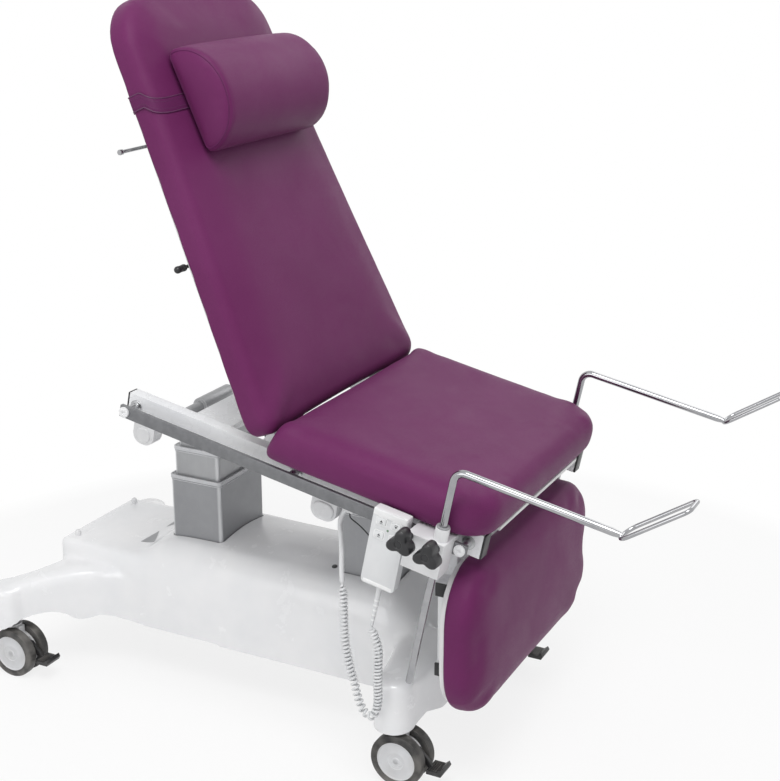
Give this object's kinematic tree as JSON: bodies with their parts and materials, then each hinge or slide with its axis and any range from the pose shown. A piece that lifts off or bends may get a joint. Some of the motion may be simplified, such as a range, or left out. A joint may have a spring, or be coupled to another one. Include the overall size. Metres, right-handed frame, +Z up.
{
  "type": "electric gynaecological chair",
  "caption": "Upholstered examination chair on a column-lift base with casters, tilting back and leg sections, accessory rails and clamped wire leg holders.",
  "frame": {"origin": "middle of the footprint on the floor, between the tips of the leg holders and the rear legs of the base", "axes": "+Z up, +Y towards the head end, +X towards the patient's left side"},
  "size_m": [0.884, 1.777, 1.6588],
  "materials": {
    "moulded_white": "gloss moulded shell",
    "frame_grey": "satin grey paint",
    "caster_grey": "satin light grey",
    "tyre_black": "satin tread",
    "black_plastic": "matt moulded",
    "column_grey": "satin grey",
    "column_light": "satin light grey",
    "white_paint": "gloss powder coat",
    "rail_steel": "brushed",
    "white_board": "smooth laminate",
    "leatherette": "fine grain, low sheen",
    "white_plastic": "smooth",
    "cable_black": "smooth",
    "bush_grey": "satin",
    "chrome": "polished",
    "handset_grey": "fine texture",
    "key_dark": "satin",
    "cord_grey": "smooth"
  },
  "bodies": {
    "base": {"base_cover": "moulded_white", "base_chassis": "frame_grey", "rear_column_outer": "column_grey", "front_column_outer": "column_grey"},
    "rear_middle": {"rear_column_middle": "column_light"},
    "rear_inner": {"rear_column_inner": "column_light"},
    "front_middle": {"front_column_middle": "column_light"},
    "front_inner": {"front_column_inner": "column_light"},
    "frame": {"main_frame": "white_paint", "beam_end_caps": "black_plastic", "bearing_blocks": "white_paint", "side_rails": "rail_steel", "rail_fixings": "rail_steel", "hinge_pins": "rail_steel", "seat_board": "white_board", "seat_cushion": "leatherette", "control_box": "white_plastic", "cord_gland": "white_plastic", "seat_cable": "cable_black", "handset_cord": "cord_grey"},
    "back": {"back_frame": "frame_grey", "back_board": "white_board", "back_cushion": "leatherette", "pillow": "leatherette", "pillow_strap": "leatherette"},
    "roll_rod": {"roll_rod": "rail_steel"},
    "release_lever": {"release_lever": "black_plastic"},
    "leg": {"leg_frame": "white_paint", "leg_tube_caps": "black_plastic", "leg_board": "white_board", "leg_cushion": "leatherette"},
    "gas_body": {"gas_spring_body": "black_plastic"},
    "gas_rod": {"gas_spring_rod": "rail_steel"},
    "clamp_r": {"rail_clamp_r": "white_paint"},
    "bush_r": {"clamp_bush_r": "bush_grey"},
    "stirrup_r": {"stirrup_r": "chrome"},
    "rail_knob_r": {"rail_knob_r": "black_plastic"},
    "rod_knob_r": {"rod_knob_r": "black_plastic"},
    "clamp_l": {"rail_clamp_l": "white_paint"},
    "bush_l": {"clamp_bush_l": "bush_grey"},
    "stirrup_l": {"stirrup_l": "chrome"},
    "rail_knob_l": {"rail_knob_l": "black_plastic"},
    "rod_knob_l": {"rod_knob_l": "black_plastic"},
    "handset": {"handset": "handset_grey"},
    "key_1": {"key_1": "key_dark"},
    "key_2": {"key_2": "key_dark"},
    "key_3": {"key_3": "key_dark"},
    "key_4": {"key_4": "key_dark"},
    "caster_fr": {"caster_housing_fr": "caster_grey"},
    "wheels_fr": {"caster_wheels_fr": "tyre_black"},
    "pedal_fr": {"brake_pedal_fr": "black_plastic"},
    "caster_fl": {"caster_housing_fl": "caster_grey"},
    "wheels_fl": {"caster_wheels_fl": "tyre_black"},
    "pedal_fl": {"brake_pedal_fl": "black_plastic"},
    "caster_rr": {"caster_housing_rr": "caster_grey"},
    "wheels_rr": {"caster_wheels_rr": "tyre_black"},
    "pedal_rr": {"brake_pedal_rr": "black_plastic"},
    "caster_rl": {"caster_housing_rl": "caster_grey"},
    "wheels_rl": {"caster_wheels_rl": "tyre_black"},
    "pedal_rl": {"brake_pedal_rl": "black_plastic"}
  },
  "joints": [
    {"name": "lift", "type": "slide", "parent": "base", "child": "rear_middle", "axis": [0, 0, 1], "range_m": [0, 0.12]},
    {"name": "rear_inner_lift", "type": "slide", "parent": "rear_middle", "child": "rear_inner", "axis": [0, 0, 1], "range_m": [0, 0.12]},
    {"name": "front_lift", "type": "slide", "parent": "base", "child": "front_middle", "axis": [0, 0, 1], "range_m": [0, 0.24]},
    {"name": "front_inner_lift", "type": "slide", "parent": "front_middle", "child": "front_inner", "axis": [0, 0, 1], "range_m": [-0.01297, 0.16264]},
    {"name": "frame_tilt", "type": "hinge", "parent": "rear_inner", "child": "frame", "pos_m": [0, 0.40547, 0.69907], "axis": [1, 0, 0], "range_deg": [-19.5, 1.5]},
    {"name": "back_tilt", "type": "hinge", "parent": "frame", "child": "back", "pos_m": [0, 0.06602, 0.75247], "axis": [1, 0, 0], "range_deg": [-48.5, 6]},
    {"name": "leg_tilt", "type": "hinge", "parent": "frame", "child": "leg", "pos_m": [0, -0.39048, 0.61367], "axis": [-1, 0, 0], "range_deg": [0, 78.5]},
    {"name": "gas_spring_swing", "type": "hinge", "parent": "frame", "child": "gas_body", "pos_m": [-0.16, -0.25603, 0.57979], "axis": [1, 0, 0], "range_deg": [-7.45, 0.97]},
    {"name": "gas_spring_stroke", "type": "slide", "parent": "gas_body", "child": "gas_rod", "axis": [0, 0.9285, 0.3714], "range_m": [-0.05341, 0.00704]},
    {"name": "roll_turn", "type": "hinge", "parent": "back", "child": "roll_rod", "pos_m": [0, 0.39325, 1.34512], "axis": [1, 0, 0], "continuous": true},
    {"name": "release_turn", "type": "hinge", "parent": "back", "child": "release_lever", "pos_m": [-0.26, 0.26589, 1.10425], "axis": [1, 0, 0], "range_deg": [0, 30], "stiffness_Nm_per_rad": 0.5},
    {"name": "clamp_slide_r", "type": "slide", "parent": "frame", "child": "clamp_r", "axis": [0, 0.9799, 0.1994], "range_m": [0, 0.006]},
    {"name": "stirrup_swivel_r", "type": "hinge", "parent": "clamp_r", "child": "bush_r", "pos_m": [-0.366, -0.36486, 0.57806], "axis": [0, 0.1994, -0.9799], "range_deg": [-30, 75]},
    {"name": "stirrup_slide_r", "type": "slide", "parent": "bush_r", "child": "stirrup_r", "axis": [0, -0.1994, 0.9799], "range_m": [-0.04, 0.22]},
    {"name": "rail_knob_turn_r", "type": "hinge", "parent": "clamp_r", "child": "rail_knob_r", "pos_m": [-0.4, -0.3173, 0.63519], "axis": [-1, 0, 0], "range_deg": [0, 360]},
    {"name": "rod_knob_turn_r", "type": "hinge", "parent": "clamp_r", "child": "rod_knob_r", "pos_m": [-0.4, -0.37618, 0.61862], "axis": [-1, 0, 0], "range_deg": [0, 360]},
    {"name": "clamp_slide_l", "type": "slide", "parent": "frame", "child": "clamp_l", "axis": [0, 0.9799, 0.1994], "range_m": [0, 0.3]},
    {"name": "stirrup_swivel_l", "type": "hinge", "parent": "clamp_l", "child": "bush_l", "pos_m": [0.366, -0.36486, 0.57806], "axis": [0, -0.1994, 0.9799], "range_deg": [-30, 75]},
    {"name": "stirrup_slide_l", "type": "slide", "parent": "bush_l", "child": "stirrup_l", "axis": [0, -0.1994, 0.9799], "range_m": [-0.04, 0.22]},
    {"name": "rail_knob_turn_l", "type": "hinge", "parent": "clamp_l", "child": "rail_knob_l", "pos_m": [0.4, -0.3173, 0.63519], "axis": [1, 0, 0], "range_deg": [0, 360]},
    {"name": "rod_knob_turn_l", "type": "hinge", "parent": "clamp_l", "child": "rod_knob_l", "pos_m": [0.4, -0.37618, 0.61862], "axis": [1, 0, 0], "range_deg": [0, 360]},
    {"name": "handset_slide", "type": "slide", "parent": "frame", "child": "handset", "axis": [0, 0.9799, 0.1994], "range_m": [0, 0.3]},
    {"name": "key_1_press", "type": "slide", "parent": "handset", "child": "key_1", "axis": [1, 0, 0], "range_m": [0, 0.0012], "stiffness_N_per_m": 400},
    {"name": "key_2_press", "type": "slide", "parent": "handset", "child": "key_2", "axis": [1, 0, 0], "range_m": [0, 0.0012], "stiffness_N_per_m": 400},
    {"name": "key_3_press", "type": "slide", "parent": "handset", "child": "key_3", "axis": [1, 0, 0], "range_m": [0, 0.0012], "stiffness_N_per_m": 400},
    {"name": "key_4_press", "type": "slide", "parent": "handset", "child": "key_4", "axis": [1, 0, 0], "range_m": [0, 0.0012], "stiffness_N_per_m": 400},
    {"name": "caster_swivel_fr", "type": "hinge", "parent": "base", "child": "caster_fr", "pos_m": [-0.295, -0.23653, 0.131], "axis": [0, 0, 1], "continuous": true},
    {"name": "wheel_roll_fr", "type": "hinge", "parent": "caster_fr", "child": "wheels_fr", "pos_m": [-0.295, -0.25653, 0.0625], "axis": [1, 0, 0], "continuous": true},
    {"name": "brake_press_fr", "type": "hinge", "parent": "caster_fr", "child": "pedal_fr", "pos_m": [-0.295, -0.29052, 0.084], "axis": [1, 0, 0], "range_deg": [0, 8]},
    {"name": "caster_swivel_fl", "type": "hinge", "parent": "base", "child": "caster_fl", "pos_m": [0.295, -0.23653, 0.131], "axis": [0, 0, 1], "continuous": true},
    {"name": "wheel_roll_fl", "type": "hinge", "parent": "caster_fl", "child": "wheels_fl", "pos_m": [0.295, -0.25653, 0.0625], "axis": [1, 0, 0], "continuous": true},
    {"name": "brake_press_fl", "type": "hinge", "parent": "caster_fl", "child": "pedal_fl", "pos_m": [0.295, -0.29052, 0.084], "axis": [1, 0, 0], "range_deg": [0, 8]},
    {"name": "caster_swivel_rr", "type": "hinge", "parent": "base", "child": "caster_rr", "pos_m": [-0.295, 0.84147, 0.131], "axis": [0, 0, 1], "continuous": true},
    {"name": "wheel_roll_rr", "type": "hinge", "parent": "caster_rr", "child": "wheels_rr", "pos_m": [-0.295, 0.82147, 0.0625], "axis": [1, 0, 0], "continuous": true},
    {"name": "brake_press_rr", "type": "hinge", "parent": "caster_rr", "child": "pedal_rr", "pos_m": [-0.295, 0.78748, 0.084], "axis": [1, 0, 0], "range_deg": [0, 8]},
    {"name": "caster_swivel_rl", "type": "hinge", "parent": "base", "child": "caster_rl", "pos_m": [0.295, 0.84147, 0.131], "axis": [0, 0, 1], "continuous": true},
    {"name": "wheel_roll_rl", "type": "hinge", "parent": "caster_rl", "child": "wheels_rl", "pos_m": [0.295, 0.82147, 0.0625], "axis": [1, 0, 0], "continuous": true},
    {"name": "brake_press_rl", "type": "hinge", "parent": "caster_rl", "child": "pedal_rl", "pos_m": [0.295, 0.78748, 0.084], "axis": [1, 0, 0], "range_deg": [0, 8]}
  ],
  "couplings": [
    {"joint": "rear_inner_lift", "follows": "lift", "ratio": 1},
    {"joint": "front_lift", "follows": "lift", "ratio": 2},
    {"joint": "front_inner_lift", "follows": "frame_tilt", "m_per_rad": -0.4764},
    {"joint": "gas_spring_swing", "follows": "back_tilt", "ratio": 0.1525},
    {"joint": "gas_spring_stroke", "follows": "back_tilt", "m_per_rad": 0.0625}
  ]
}
